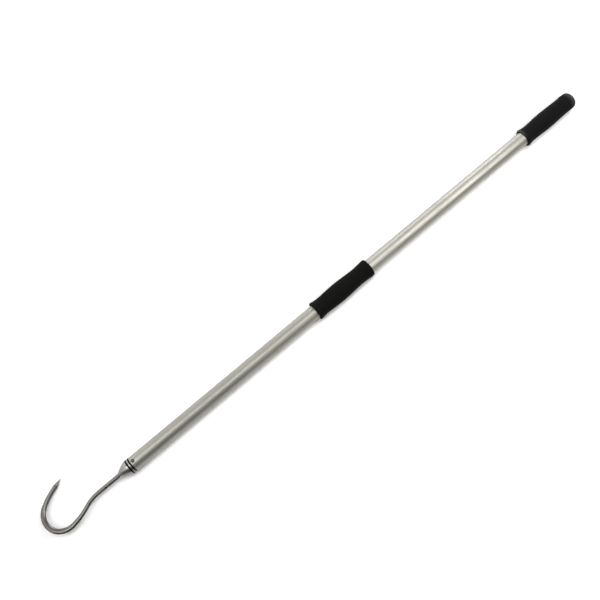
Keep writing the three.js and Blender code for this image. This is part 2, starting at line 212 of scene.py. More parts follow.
# Radii that fit one another
tube_bore_radius = tube_radius - tube_wall
grip_bore_radius = tube_radius + slip_gap
grip_lip_radius = grip_bore_radius + grip_lip_wall
spigot_radius = tube_bore_radius - slip_gap
hollow_radius = spigot_radius - spigot_wall
ring_floor_radius = tube_radius - ring_section - seat_gap
ring_centre_radius = tube_radius - ring_section / 2
bore_radius = bar_radius + seat_gap
cone_tip_radius = bore_radius + cone_tip_wall
tang_bore_radius = tang_radius + seat_gap
insert_seat_radius = tang_radius + press_gap + insert_wall + press_gap
nut_collar_radius = insert_seat_radius + nut_collar_wall
rivet_tail_top = hollow_radius - seat_gap - rivet_tail_radius ** 2 / (2 * hollow_radius)
rivet_tail_end = rivet_tail_top - rivet_tail_length
rivet_rim_top = tube_radius + rivet_head_rim
rivet_head_top = tube_radius + seat_gap + rivet_head_rise


# ---- Hook's centreline ----

def hook_legs():
    """The lines and arcs of the hook's centreline: where each starts, its heading and how far it runs."""
    plan = [
        (cone_front + shank_straight - tang_back, 0, 0),
        (None, knee_radius, knee_turn),
        (None, throat_radius, throat_turn),
        (None, bend_radius, bend_turn),
        (None, leg_radius, leg_turn),
        (leg_straight, 0, 0),
    ]
    legs = []
    x, y, heading, travelled = tang_back, 0.0, 0.0, 0.0
    for length, radius, turn in plan:
        span = length if length is not None else radius * abs(turn)
        leg = {"from": travelled, "span": span, "x": x, "y": y, "heading": heading, "radius": radius, "turn": turn}
        legs.append(leg)
        x, y, heading = place_on_leg(leg, span)
        travelled += span
    return legs, travelled


def place_on_leg(leg, distance):
    """Point and heading at a distance along one line or arc."""
    heading = leg["heading"]
    if not leg["turn"]:
        return leg["x"] + distance * math.cos(heading), leg["y"] + distance * math.sin(heading), heading
    side = math.copysign(1, leg["turn"])
    swept = heading + side * distance / leg["radius"]
    x = leg["x"] + side * leg["radius"] * (math.sin(swept) - math.sin(heading))
    y = leg["y"] - side * leg["radius"] * (math.cos(swept) - math.cos(heading))
    return x, y, swept


legs, hook_length = hook_legs()


def hook_place(distance):
    """Point and heading at a distance from the tang's end."""
    leg = [candidate for candidate in legs if distance >= candidate["from"]][-1]
    return place_on_leg(leg, distance - leg["from"])


# The gaff lies rolled on its grips until the foot of the hook's point touches the same surface
foot_side = hook_place(hook_length - point_length)[1]
lie_turn = math.asin((grip_lip_radius - bar_radius) / abs(foot_side))
lie = Matrix.Rotation(lie_turn, 4, "X")


# ---- Turning pieces ----

def arc(centre_radius, centre_station, size, start, end, steps):
    """Profile points round a corner, from one angle to another."""
    points = []
    for k in range(steps + 1):
        angle = start + (end - start) * k / steps
        points.append((centre_radius + size * math.cos(angle), centre_station + size * math.sin(angle), 0))
    return points


def between(start, end, steps):
    """Profile points spaced evenly from one (radius, station) to another, both ends among them."""
    (radius, station), (last_radius, last_station) = start, end
    points = []
    for k in range(steps + 1):
        share = k / steps
        points.append((radius + (last_radius - radius) * share, station + (last_station - station) * share, 0))
    return points


def rounded(profile, closed):
    """A profile of (radius, station, corner size) as (radius, station, edge), its corners rounded.

    It runs clockwise round the metal, so edge is 1 on an outward corner, -1 on an inward one and 0 elsewhere.
    """
    made = []
    for i, (radius, station, size) in enumerate(profile):
        here = Vector((station, radius))
        if not size or (not closed and i in (0, len(profile) - 1)):
            made.append((radius, station, 0.0))
            continue
        before = Vector((profile[i - 1][1], profile[i - 1][0])) - here
        after = profile[(i + 1) % len(profile)]
        after = Vector((after[1], after[0])) - here
        half = before.angle(after) / 2
        reach = min(size / math.tan(half), 0.45 * before.length, 0.45 * after.length)
        turn_radius = reach * math.tan(half)
        towards, away = before.normalized(), after.normalized()
        centre = here + (towards + away).normalized() * (turn_radius / math.sin(half))
        first, last = here + towards * reach - centre, here + away * reach - centre
        sweep = first.angle(last)
        mark = 1.0 if towards.cross(away) > 0 else -1.0
        if reach + corner_support < before.length / 2:
            made.append((here + towards * (reach + corner_support)).yx[:] + (0.0,))
        for k in range(corner_steps + 1):
            share = k / corner_steps
            arm = (first * math.sin((1 - share) * sweep) + last * math.sin(share * sweep)) / math.sin(sweep)
            made.append((centre + arm).yx[:] + (mark,))
        if reach + corner_support < after.length / 2:
            made.append((here + away * (reach + corner_support)).yx[:] + (0.0,))
    return made


def turned(name, profile, facets, closed=True):
    """A mesh turned about the X axis from a profile: a closed loop, or a line that starts and ends on the axis."""
    shape = bmesh.new()
    edge = shape.verts.layers.float.new("edge")
    rings = []
    for radius, station, mark in rounded(profile, closed):
        count = facets if radius > 1e-6 else 1
        ring = []
        for k in range(count):
            angle = 2 * math.pi * k / facets
            vert = shape.verts.new((station * MM, radius * MM * math.sin(angle), radius * MM * math.cos(angle)))
            vert[edge] = mark
            ring.append(vert)
        rings.append(ring)
    pairs = list(zip(rings, rings[1:]))
    if closed:
        pairs.append((rings[-1], rings[0]))
    for one, two in pairs:
        for k in range(facets):
            after = (k + 1) % facets
            if len(one) == 1 == len(two):
                continue
            if len(one) == 1:
                shape.faces.new((one[0], two[after], two[k]))
            elif len(two) == 1:
                shape.faces.new((one[k], one[after], two[0]))
            else:
                shape.faces.new((one[k], one[after], two[after], two[k]))
    bmesh.ops.recalc_face_normals(shape, faces=shape.faces)
    mesh = bpy.data.meshes.new(name)
    shape.to_mesh(mesh)
    shape.free()
    return mesh


def holder(name, data):
    """An object for work in progress."""
    made = bpy.data.objects.new(name, data)
    bpy.context.scene.collection.objects.link(made)
    return made


def worked(name, mesh, modifiers):
    """The mesh after modifiers that a function adds to its object, as a plain mesh."""
    blank = holder(name + "_blank", mesh)
    modifiers(blank)
    bpy.context.view_layer.update()
    evaluated = blank.evaluated_get(bpy.context.evaluated_depsgraph_get())
    made = bpy.data.meshes.new_from_object(evaluated)
    made.name = name
    bpy.data.objects.remove(blank)
    return made


def drilled(name, mesh):
    """The mesh with the two rivet holes drilled through it."""
    bit_mesh = bpy.data.meshes.new("drill_bit")
    shape = bmesh.new()
    radius = rivet_hole_radius * MM
    length = (2 * tube_radius + 8) * MM
    place = Matrix.Translation((rivet_station * MM, 0, 0))
    bmesh.ops.create_cone(
        shape, cap_ends=True, segments=48, radius1=radius, radius2=radius, depth=length, matrix=place
    )
    shape.to_mesh(bit_mesh)
    shape.free()
    bit = holder("drill_bit", bit_mesh)

    def drill(blank):
        cut = blank.modifiers.new("rivet holes", "BOOLEAN")
        cut.operation = "DIFFERENCE"
        cut.solver = "EXACT"
        cut.object = bit

    made = worked(name, mesh, drill)
    bpy.data.objects.remove(bit)
    return made


def shown(name, mesh, material, node, crease=35):
    """The finished piece that stands for a CAD node: rolled as the gaff lies, shaded, and riding on its body."""
    mesh.transform(lie)
    mesh.materials.clear()
    mesh.materials.append(material)
    mesh.polygons.foreach_set("use_smooth", [True] * len(mesh.polygons))
    mesh.polygons.foreach_set("material_index", [0] * len(mesh.polygons))
    mesh.set_sharp_from_angle(angle=math.radians(crease))
    mesh.update()
    piece = holder(name, mesh)
    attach(piece, "root")
    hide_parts(node)
    return piece


# ---- Node trees ----

class Value:
    """A socket's value. Arithmetic on it adds a node to its tree, and gives the outcome as another value."""

    def __init__(self, socket):
        self.socket = socket
        self.tree = socket.id_data

    def __add__(self, other):
        return maths("ADD", self, other)

    def __sub__(self, other):
        return maths("SUBTRACT", self, other)

    def __rsub__(self, other):
        return maths("SUBTRACT", other, self)

    def __mul__(self, other):
        return maths("MULTIPLY", self, other)

    def __truediv__(self, other):
        return maths("DIVIDE", self, other)

    def __rtruediv__(self, other):
        return maths("DIVIDE", other, self)

    def __pow__(self, other):
        return maths("POWER", self, other)


class Node:
    """A node. Its outputs are taken as values: by name, by number, or all in order."""

    def __init__(self, node):
        self.node = node

    def __getitem__(self, key):
        return Value(self.node.outputs[key])

    def __iter__(self):
        return map(Value, self.node.outputs)


def wire(value, socket):
    """Links a value to a socket, or sets the socket to a plain number, vector or colour."""
    if isinstance(value, Value):
        value.tree.links.new(value.socket, socket)
    else:
        socket.default_value = value


def add(tree, kind, inputs=None, **settings):
    """A node with its settings and its inputs."""
    node = tree.nodes.new(kind)
    for name, setting in settings.items():
        setattr(node, name, setting)
    for key, value in (inputs or {}).items():
        wire(value, node.inputs[key])
    return Node(node)


def titled(values):
    """Values under the names of the sockets that they are for."""
    return {key.replace("_", " ").title(): value for key, value in values.items()}


def maths(operation, *values):
    """One step of arithmetic on values and numbers."""
    tree = next(value.tree for value in values if isinstance(value, Value))
    return add(tree, "ShaderNodeMath", dict(enumerate(values)), operation=operation)[0]


def vectors(operation, one, two):
    """One step of arithmetic on two vectors."""
    return add(one.tree, "ShaderNodeVectorMath", {0: one, 1: two}, operation=operation)[0]


def scaled(vector, factor):
    """A vector times a number."""
    return add(vector.tree, "ShaderNodeVectorMath", {0: vector, "Scale": factor}, operation="SCALE")[0]


def ramp(value, low, high, to_low=0.0, to_high=1.0, smooth=False):
    """A value carried from one range to another, held at both ends."""
    steps = {0: value, 1: low, 2: high, 3: to_low, 4: to_high}
    return add(value.tree, "ShaderNodeMapRange", steps, interpolation_type="SMOOTHSTEP" if smooth else "LINEAR")[0]


def mix(share, one, two):
    """A number between two, by a share."""
    return add(share.tree, "ShaderNodeMix", {0: share, 2: one, 3: two})[0]


def blend_colours(share, one, two):
    """A colour between two, by a share."""
    return add(share.tree, "ShaderNodeMix", {0: share, 6: one, 7: two}, data_type="RGBA")[2]


def noise(place, scale, detail, **more):
    """Noise from 0 to 1 at a place."""
    return add(place.tree, "ShaderNodeTexNoise", {"Vector": place, "Scale": scale, "Detail": detail, **more})[0]


socket_kinds = {float: "Float", int: "Int", tuple: "Vector"}


def new_tree(name, kind, inputs, outputs):
    """A node group: its tree, its inputs' values and its output sockets.

    Each input or output has a name, and either its kind of socket or the number or vector that it starts with.
    """
    tree = bpy.data.node_groups.new(name, kind)
    for side, sockets in (("INPUT", inputs), ("OUTPUT", outputs)):
        for label, start in sockets.items():
            socket_kind = socket_kinds.get(type(start), start)
            socket = tree.interface.new_socket(label, in_out=side, socket_type="NodeSocket" + socket_kind)
            if socket_kind != start:
                socket.default_value = start
    return tree, add(tree, "NodeGroupInput"), tree.nodes.new("NodeGroupOutput").inputs


# ---- Shapes that follow a rule ----

thread_inputs = {"Thread Pitch": thread_pitch * MM, "Thread Depth": thread_depth * MM}


def shape_tree(name, inputs):
    """A Geometry Nodes tree that takes a mesh, some inputs and a finish."""
    inputs = {"Geometry": "Geometry", **inputs, "Finish": "Material"}
    return new_tree(name, "GeometryNodeTree", inputs, {"Geometry": "Geometry"})


def coated(tree, given, result, geometry):
    """Ends a shape tree: the mesh is made real and gets its finish."""
    real = add(tree, "GeometryNodeRealizeInstances", {"Geometry": geometry})[0]
    wire(add(tree, "GeometryNodeSetMaterial", {"Geometry": real, "Material": given["Finish"]})[0], result["Geometry"])
    return tree


def shifted(geometry, **places):
    """The geometry with its points at another Position, or moved by an Offset."""
    return add(geometry.tree, "GeometryNodeSetPosition", {"Geometry": geometry, **places})[0]


def point_parts(tree):
    """Where each point is along X, Y and Z."""
    return add(tree, "ShaderNodeSeparateXYZ", {0: add(tree, "GeometryNodeInputPosition")[0]})


def joined_parts(tree, **parts):
    """A place, step or turn from its parts along X, Y and Z."""
    return add(tree, "ShaderNodeCombineXYZ", parts)[0]


def screw_thread():
    """How deep a thread is cut below its crest, at a point round the X axis: 0 on the crest, 1 at the root."""
    tree, given, result = new_tree("Screw thread", "GeometryNodeTree", {"Pitch": thread_pitch * MM}, {"Depth": "Float"})
    along, across, up = point_parts(tree)
    turn_share = maths("ARCTAN2", across, up) / (2 * math.pi)
    wave = maths("PINGPONG", along / given["Pitch"] + turn_share, 0.5)
    wire(ramp(wave, 0.08, 0.42), result["Depth"])
    return tree


thread_group = screw_thread()


def thread_cut(tree, given):
    """How deep the screw thread cuts into a piece at each point."""
    thread = add(tree, "GeometryNodeGroup", {"Pitch": given["Thread Pitch"]}, node_tree=thread_group)
    return thread["Depth"] * given["Thread Depth"]


def forged_hook_tree():
    """Carries a straight turned bar onto the hook's line, cuts the tang's thread and flattens the forged bend."""
    places = dict.fromkeys(("Thread End", "Forge Starts", "Forge Full", "Forge Fades", "Forge Ends"), 0.0)
    shares = {"Widening": forge_widen_share, "Flattening": forge_flatten_share, "Hammer Marks": 0.05 * MM}
    tree, given, result = shape_tree("Forged hook", {"Hook Line": "Object", **places, **thread_inputs, **shares})
    station, across, up = point_parts(tree)

    # thread on the tang
    runout = ramp(station, given["Thread End"], given["Thread End"] - 1.2 * MM)
    radius = (across ** 2.0 + up ** 2.0) ** 0.5
    is_skin = maths("GREATER_THAN", radius, (tang_radius - 0.7) * MM)
    kept = 1.0 - thread_cut(tree, given) * runout * is_skin / maths("MAXIMUM", radius, 0.1 * MM)

    # hammered flat in the bend
    rise = ramp(station, given["Forge Starts"], given["Forge Full"], smooth=True)
    fall = ramp(station, given["Forge Fades"], given["Forge Ends"], 1.0, 0.0, smooth=True)
    forged = rise * fall
    across = across * kept * (forged * given["Widening"] + 1.0)
    up = up * kept * (1.0 - forged * given["Flattening"])

    # onto the hook's line
    line = add(tree, "GeometryNodeObjectInfo", {"Object": given["Hook Line"]})["Geometry"]
    spot = add(tree, "GeometryNodeSampleCurve", {"Curves": line, "Length": station}, mode="LENGTH")
    upright = joined_parts(tree, Z=1.0)
    sideways = vectors("CROSS_PRODUCT", upright, spot["Tangent"])
    placed = vectors("ADD", spot["Position"], scaled(sideways, across))
    placed = vectors("ADD", placed, scaled(upright, up))

    # faint unevenness that the hammer leaves
    blows = add(tree, "ShaderNodeTexNoise", {"Scale": 130.0, "Detail": 1.0, "Roughness": 0.4})[0]
    held = add(tree, "GeometryNodeCaptureAttribute", {"Geometry": given["Geometry"]})
    held.node.capture_items.new("FLOAT", "Blow")
    wire((blows - 0.5) * (forged * given["Hammer Marks"]), held.node.inputs["Blow"])
    bent = shifted(held["Geometry"], Position=placed)
    dent = scaled(add(tree, "GeometryNodeInputNormal")[0], held["Blow"])
    return coated(tree, given, result, shifted(bent, Offset=dent))


def plug_ribs_tree():
    """Repeats one sealing rib along the plug's stub and joins the ribs to it."""
    inputs = {"Rib": "Object", "Rib Count": plug_rib_count, "Rib Pitch": plug_rib_pitch * MM}
    tree, given, result = shape_tree("Plug ribs", inputs)
    step = joined_parts(tree, X=given["Rib Pitch"])
    places = add(tree, "GeometryNodeMeshLine", {"Count": given["Rib Count"], "Offset": step}, mode="OFFSET")["Mesh"]
    rib = add(tree, "GeometryNodeObjectInfo", {"Object": given["Rib"]})["Geometry"]
    ribs = add(tree, "GeometryNodeInstanceOnPoints", {"Points": places, "Instance": rib})["Instances"]
    both = add(tree, "GeometryNodeJoinGeometry")
    for geometry in (ribs, given["Geometry"]):
        wire(geometry, both.node.inputs[0])
    return coated(tree, given, result, both[0])


def foam_skin_tree():
    """Makes a turned grip uneven, as moulded foam is: slow swells, and a fine orange-peel skin."""
    inputs = {"Swell Depth": 0.16 * MM, "Peel Depth": 0.06 * MM, "Seed": 3.0}
    tree, given, result = shape_tree("Foam skin", inputs)
    heights = []
    for scale, detail, depth in ((55.0, 1.0, "Swell Depth"), (520.0, 2.0, "Peel Depth")):
        wave = {"W": given["Seed"], "Scale": scale, "Detail": detail}
        heights.append((add(tree, "ShaderNodeTexNoise", wave, noise_dimensions="4D")[0] - 0.5) * given[depth])
    offset = scaled(add(tree, "GeometryNodeInputNormal")[0], (heights[0] + heights[1]) * 2.0)
    return coated(tree, given, result, shifted(given["Geometry"], Offset=offset))


def hexagon_nut_tree():
    """Shapes a turned, threaded blank into a nut: flats to the wrench width, and a thread in its bore."""
    sizes = {"Flat Width": nut_flat_width * MM, "Hex Starts": nut_hex_back * MM, "Bore Radius": tang_radius * MM}
    tree, given, result = shape_tree("Hexagon nut", {**sizes, "Sides": float(nut_sides), **thread_inputs})
    station, across, up = point_parts(tree)
    radius = (across ** 2.0 + up ** 2.0) ** 0.5
    half_side = math.pi / given["Sides"]
    from_flat = maths("PINGPONG", maths("ARCTAN2", across, up) + half_side, half_side)
    flat = given["Flat Width"] / 2.0 / maths("COSINE", from_flat)
    on_hex = maths("GREATER_THAN", station, given["Hex Starts"] - 0.01 * MM)
    outer = maths("MINIMUM", radius, flat) * on_hex + radius * (1.0 - on_hex)
    in_bore = maths("LESS_THAN", radius, given["Bore Radius"] + 0.08 * MM) * on_hex
    scale = (outer - thread_cut(tree, given) * in_bore) / maths("MAXIMUM", radius, 0.01 * MM)
    placed = joined_parts(tree, X=station, Y=across * scale, Z=up * scale)
    return coated(tree, given, result, shifted(given["Geometry"], Position=placed))


def set_rivet_tree():
    """Lays a blind rivet's turned head down on the round tube, and turns the rivet to its side of the pole."""
    sizes = {"Station": rivet_station * MM, "Tube Radius": tube_radius * MM}
    tree, given, result = shape_tree("Set rivet", {**sizes, "Side Turn": 0.0, "Break Roughness": 0.0})
    height, across, along = point_parts(tree)
    tube = given["Tube Radius"]
    drop = (tube ** 2.0 - across ** 2.0) ** 0.5 - tube
    is_head = ramp(height, tube - 0.6 * MM, tube)
    chips = add(tree, "ShaderNodeTexNoise", {"Scale": 1800.0, "Detail": 3.0})[0]
    is_top = ramp(height, tube + 0.9 * MM, tube + 1.1 * MM)
    lowered = drop * is_head + height + (chips - 0.5) * given["Break Roughness"] * is_top
    stood = joined_parts(tree, X=along + given["Station"], Y=across, Z=lowered)
    spin = joined_parts(tree, X=given["Side Turn"])
    placed = shifted(given["Geometry"], Position=stood)
    turned_over = add(tree, "GeometryNodeTransform", {"Geometry": placed, "Rotation": spin})[0]
    return coated(tree, given, result, turned_over)


def by_rule(name, mesh, tree, **values):
    """The mesh after a Geometry Nodes tree with these inputs, as a plain mesh."""
    named = titled(values)

    def apply(blank):
        modifier = blank.modifiers.new(tree.name, "NODES")
        modifier.node_group = tree
        for item in tree.interface.items_tree:
            if item.item_type == "SOCKET" and item.in_out == "INPUT" and item.name in named:
                modifier[item.identifier] = named[item.name]

    return worked(name, mesh, apply)


# ---- Effects that several finishes share ----

def grain_group():
    """Fine lines along one direction, as drawing, turning or brushing leaves them."""
    inputs = {"Vector": "Vector", "Stretch": (1.0, 1.0, 1.0), "Scale": 1000.0, "Unevenness": 0.5}
    tree, given, result = new_tree("Tool grain", "ShaderNodeTree", inputs, {"Lines": "Float"})
    place = vectors("MULTIPLY", given["Vector"], given["Stretch"])
    fine = noise(place, given["Scale"], 3.0, Roughness=0.55)
    bands = ramp(noise(place, given["Scale"] * 0.12, 3.0), 0.35, 0.65)
    wire(mix(given["Unevenness"], fine, bands), result["Lines"])
    return tree


def scratch_group():
    """Sparse thin scratches that cross the grain, gathered in patches."""
    inputs = {"Vector": "Vector", "Stretch": (1.0, 1.0, 1.0), "Scale": 120.0, "Width": 0.02, "Amount": 0.5}
    tree, given, result = new_tree("Use scratches", "ShaderNodeTree", inputs, {"Mask": "Float"})
    waves = {"Vector": given["Vector"], "Scale": given["Scale"] * 0.35, "Detail": 2.0}
    warp = add(tree, "ShaderNodeTexNoise", waves)["Color"]
    moved = vectors("ADD", given["Vector"], scaled(warp, 0.006))
    cracks = {"Vector": vectors("MULTIPLY", moved, given["Stretch"]), "Scale": given["Scale"]}
    lines = add(tree, "ShaderNodeTexVoronoi", cracks, feature="DISTANCE_TO_EDGE")[0]
    thin = ramp(lines, 0.0, given["Width"], 1.0, 0.0)
    threshold = 0.75 - given["Amount"] * 0.4
    gathered = ramp(noise(moved, given["Scale"] * 0.5, 2.0), threshold, threshold + 0.08)
    wire(thin * gathered, result["Mask"])
    return tree


def handling_group():
    """Soft smudges where hands and wet fingers have been."""
    inputs = {"Vector": "Vector", "Scale": 30.0, "Amount": 1.0}
    tree, given, result = new_tree("Handling marks", "ShaderNodeTree", inputs, {"Smudge": "Float"})
    broad = noise(given["Vector"], given["Scale"], 4.0, Roughness=0.6, Distortion=0.6)
    small = noise(given["Vector"], given["Scale"] * 6.0, 3.0)
    smear = ramp(broad, 0.38, 0.68) * ramp(small, 0.25, 0.7, 0.4, 1.0)
    wire(smear * given["Amount"], result["Smudge"])
    return tree


def edge_group():
    """Where outward corners are worn bright, and inward corners are darkened as painted shade."""
    inputs = {"Vector": "Vector", "Scale": 400.0, "Amount": 0.6}
    tree, given, result = new_tree("Rubbed edges and painted shade", "ShaderNodeTree", inputs, {"Wear": "Float", "Painted Shade": "Float"})
    mark = add(tree, "ShaderNodeAttribute", attribute_name="edge")["Fac"]
    broken = ramp(noise(given["Vector"], given["Scale"], 4.0), 0.3, 0.6)
    for label, side in (("Wear", mark), ("Painted Shade", mark * -1.0)):
        wire(maths("MAXIMUM", side, 0.0) * broken * given["Amount"], result[label])
    return tree


def drift_group():
    """A colour that drifts slowly between two close tones."""
    inputs = {"Vector": "Vector", "Scale": 20.0, "Tone One": "Color", "Tone Two": "Color"}
    tree, given, result = new_tree("Tone drift", "ShaderNodeTree", inputs, {"Color": "Color"})
    share = ramp(noise(given["Vector"], given["Scale"], 3.0), 0.3, 0.7)
    wire(blend_colours(share, given["Tone One"], given["Tone Two"]), result["Color"])
    return tree


def cell_group():
    """Foam cells: a fine closed skin of small bumps with scattered open pores."""
    inputs = {"Vector": "Vector", "Cells": 1500.0, "Pores": 700.0, "Pore Share": 0.2}
    tree, given, result = new_tree("Foam cells", "ShaderNodeTree", inputs, {"Height": "Float", "Pore": "Float"})
    bumps = add(tree, "ShaderNodeTexVoronoi", {"Vector": given["Vector"], "Scale": given["Cells"]})[0]
    pores = add(tree, "ShaderNodeTexVoronoi", {"Vector": given["Vector"], "Scale": given["Pores"]})
    pick = add(tree, "ShaderNodeSeparateColor", {0: pores["Color"]})[0]
    chosen = maths("LESS_THAN", pick, given["Pore Share"])
    pit = ramp(pores["Distance"], 0.12, 0.4, 1.0, 0.0, smooth=True) * chosen
    wire((1.0 - bumps) * 0.35 - pit, result["Height"])
    wire(pit, result["Pore"])
    return tree


groups = {
    "grain": grain_group(),
    "scratches": scratch_group(),
    "handling": handling_group(),
    "edges": edge_group(),
    "drift": drift_group(),
    "cells": cell_group(),
}


# ---- Finishes ----

def finish(name):
    """A new material, its shader's sockets and the piece's own coordinates."""
    material = bpy.data.materials.new(name)
    material.use_nodes = True
    shader = material.node_tree.nodes["Principled BSDF"].inputs
    return material, shader, add(material.node_tree, "ShaderNodeTexCoord")["Object"]


def effect(which, place, **values):
    """One of the shared effects at a place, with its own values."""
    return add(place.tree, "ShaderNodeGroup", {"Vector": place, **titled(values)}, node_tree=groups[which])


def marked(tree, attribute):
    """How far an attribute of the mesh marks a spot."""
    return add(tree, "ShaderNodeAttribute", attribute_name=attribute)["Fac"]


def tinted(colour, factor=1.0, lift=0.0):
    """A colour made lighter or darker, and opaque."""
    return tuple(min(1.0, factor * part + lift) for part in colour) + (1.0,)


def dress(shader, colour, rough, height, strength, depth):
    """Wires a colour, a roughness and a height for the bump to a shader."""
    wire(colour, shader["Base Color"])
    wire(rough, shader["Roughness"])
    bump = {"Height": height, "Strength": strength, "Distance": depth * MM}
    wire(add(height.tree, "ShaderNodeBump", bump)[0], shader["Normal"])


def metal(name, light, dark, roughness, stretch, grain_scale, grain_depth, grain_rough, scratches, smudges):
    """A metal with tool grain, slow tone drift, scratches, finger smudges, worn bright edges, and painted shade
    darkening inward corners.
    """
    material, shader, place = finish(name)
    wire(1.0, shader["Metallic"])
    tone = effect("drift", place, scale=14.0, tone_one=tinted(light), tone_two=tinted(dark))["Color"]
    lines = effect("grain", place, stretch=stretch, scale=grain_scale, unevenness=0.35)["Lines"]
    across = tuple(0.25 + 0.75 * part for part in stretch)
    marks = effect("scratches", place, stretch=across, scale=160.0, width=0.012, amount=scratches)["Mask"]
    smudge = effect("handling", place, scale=26.0, amount=smudges)["Smudge"]
    edges = effect("edges", place, scale=500.0, amount=0.7)
    colour = blend_colours(ramp(lines, 0.35, 0.75, 0.0, 0.55), tone, tinted(dark, 0.86))
    colour = blend_colours(edges["Wear"], colour, tinted(light, 1.12))
    # painted shade: inward corners darkened
    colour = blend_colours(edges["Painted Shade"], colour, tinted(dark, 0.35))
    rough = (lines - 0.5) * grain_rough + roughness + smudge * 0.08 + marks * 0.12 + edges["Wear"] * -0.08
    dress(shader, colour, rough, marks * -1.2 + lines, 1.0, grain_depth)
    return material


def ground_point(material, light, dark, roughness):
    """Gives the hook's point the brighter finish of a fresh grind, where the attribute 'ground' marks it."""
    tree = material.node_tree
    shader = tree.nodes["Principled BSDF"].inputs
    place = Value(tree.nodes["Texture Coordinate"].outputs["Object"])
    bar_colour, bar_rough = (Value(shader[key].links[0].from_socket) for key in ("Base Color", "Roughness"))
    ground = marked(tree, "ground")
    lines = effect("grain", place, stretch=(1.0, 0.06, 0.6), scale=2400.0, unevenness=0.3)["Lines"]
    tone = blend_colours(ramp(lines, 0.3, 0.7), tinted(light), tinted(dark))
    wire(blend_colours(ground, bar_colour, tone), shader["Base Color"])
    wire(mix(ground, bar_rough, (lines - 0.5) * 0.16 + roughness), shader["Roughness"])


def foam(name, skin, dust_and_highlight, seed):
    """Black closed-cell foam: small bumps, scattered pores darkened as painted shade, painted highlights where the butt
    and the lip's upper side catch light, cut ends with open cells and a lighter colour as painted highlight, and a
    little dust.
    """
    material, shader, place = finish(name)
    for key, value in {"Specular IOR Level": 0.06, "Sheen Weight": 0.01, "Sheen Roughness": 0.4}.items():
        wire(value, shader[key])
    tree = material.node_tree
    place = add(tree, "ShaderNodeMapping", {"Vector": place, "Location": (seed, 0.0, 0.0)})[0]
    tone = effect("drift", place, scale=60.0, tone_one=tinted(skin), tone_two=tinted(skin, 1.35))["Color"]
    cells = effect("cells", place, cells=1900.0, pores=620.0, pore_share=0.16)
    open_cells = effect("cells", place, cells=1100.0, pores=900.0, pore_share=0.75)
    smudge = effect("handling", place, scale=40.0, amount=1.0)["Smudge"]
    cut = marked(tree, "cut")
    patchy = ramp(noise(place, 160.0, 3.0), 0.3, 0.7, 0.55, 1.1)
    # painted highlight: the butt and the lip's upper side lightened in patches, where the foam catches light
    painted_highlight = ramp(marked(tree, "painted_highlight"), 0.0, 1.0, smooth=True) * patchy
    colour = blend_colours(smudge * 0.35, tone, tinted(dust_and_highlight))
    colour = blend_colours(painted_highlight, colour, tinted((0.085, 0.094, 0.092)))
    # painted shade: the open pores darkened
    colour = blend_colours(cells["Pore"] * 0.7, colour, tinted((0.003, 0.003, 0.003)))
    # painted highlight: cut end faces lightened where they catch light; their coarser open cells are real
    colour = blend_colours(cut * 0.8, colour, tinted(dust_and_highlight, 1.6))
    height = mix(cut, cells["Height"], open_cells["Height"])
    dress(shader, colour, smudge * 0.1 + 0.72 + cut * 0.15, height, 0.9, 0.16)
    return material


def moulded(name, base, second, roughness, gloss, speckle_scale, depth):
    """Rubber, nylon or plastic from a mould: fine matt grain, tone drift and handling marks."""
    material, shader, place = finish(name)
    wire(gloss, shader["Specular IOR Level"])
    tone = effect("drift", place, scale=90.0, tone_one=tinted(base), tone_two=tinted(second))["Color"]
    grain = effect("grain", place, scale=speckle_scale, unevenness=0.2)["Lines"]
    smudge = effect("handling", place, scale=120.0, amount=1.0)["Smudge"]
    wear = effect("edges", place, scale=700.0, amount=0.5)["Wear"]
    lighter = tinted(base, 1.5, 0.01)
    colour = blend_colours(smudge * 0.25, blend_colours(wear, tone, lighter), lighter)
    dress(shader, colour, (grain - 0.5) * 0.16 + roughness + smudge * 0.1, grain, 0.8, depth)
    return material


satin_pole = metal(
    "satin drawn aluminium", (0.42, 0.41, 0.37), (0.39, 0.38, 0.34), roughness=0.5, stretch=(0.03, 1.0, 1.0),
    grain_scale=1400.0, grain_depth=0.006, grain_rough=0.12, scratches=0.3, smudges=0.8,
)
turned_nose = metal(
    "turned polished aluminium", (0.375, 0.37, 0.35), (0.33, 0.326, 0.31), roughness=0.35, stretch=(1.0, 0.04, 0.04),
    grain_scale=2600.0, grain_depth=0.003, grain_rough=0.1, scratches=0.4, smudges=0.6,
)
rivet_alloy = metal(
    "dull rivet aluminium", (0.126, 0.11, 0.088), (0.1, 0.088, 0.07), roughness=0.26, stretch=(1.0, 1.0, 1.0),
    grain_scale=1500.0, grain_depth=0.008, grain_rough=0.12, scratches=0.5, smudges=0.6,
)
hook_steel = metal(
    "polished hook steel", (0.185, 0.175, 0.16), (0.15, 0.142, 0.132), roughness=0.27, stretch=(0.5, 0.5, 1.0),
    grain_scale=1500.0, grain_depth=0.005, grain_rough=0.12, scratches=0.6, smudges=0.8,
)
ground_point(hook_steel, (0.27, 0.26, 0.24), (0.2, 0.19, 0.175), roughness=0.34)
bright_steel = metal(
    "plain bright steel", (0.52, 0.52, 0.51), (0.46, 0.46, 0.455), roughness=0.3, stretch=(1.0, 0.2, 0.2),
    grain_scale=1800.0, grain_depth=0.006, grain_rough=0.12, scratches=0.5, smudges=0.4,
)
stem_steel = metal(
    "broken stem steel", (0.16, 0.15, 0.14), (0.11, 0.10, 0.095), roughness=0.45, stretch=(1.0, 1.0, 1.0),
    grain_scale=2200.0, grain_depth=0.02, grain_rough=0.2, scratches=0.2, smudges=0.4,
)
middle_foam = foam("black foam", (0.0042, 0.004, 0.0032), (0.009, 0.0085, 0.0075), seed=0.0)
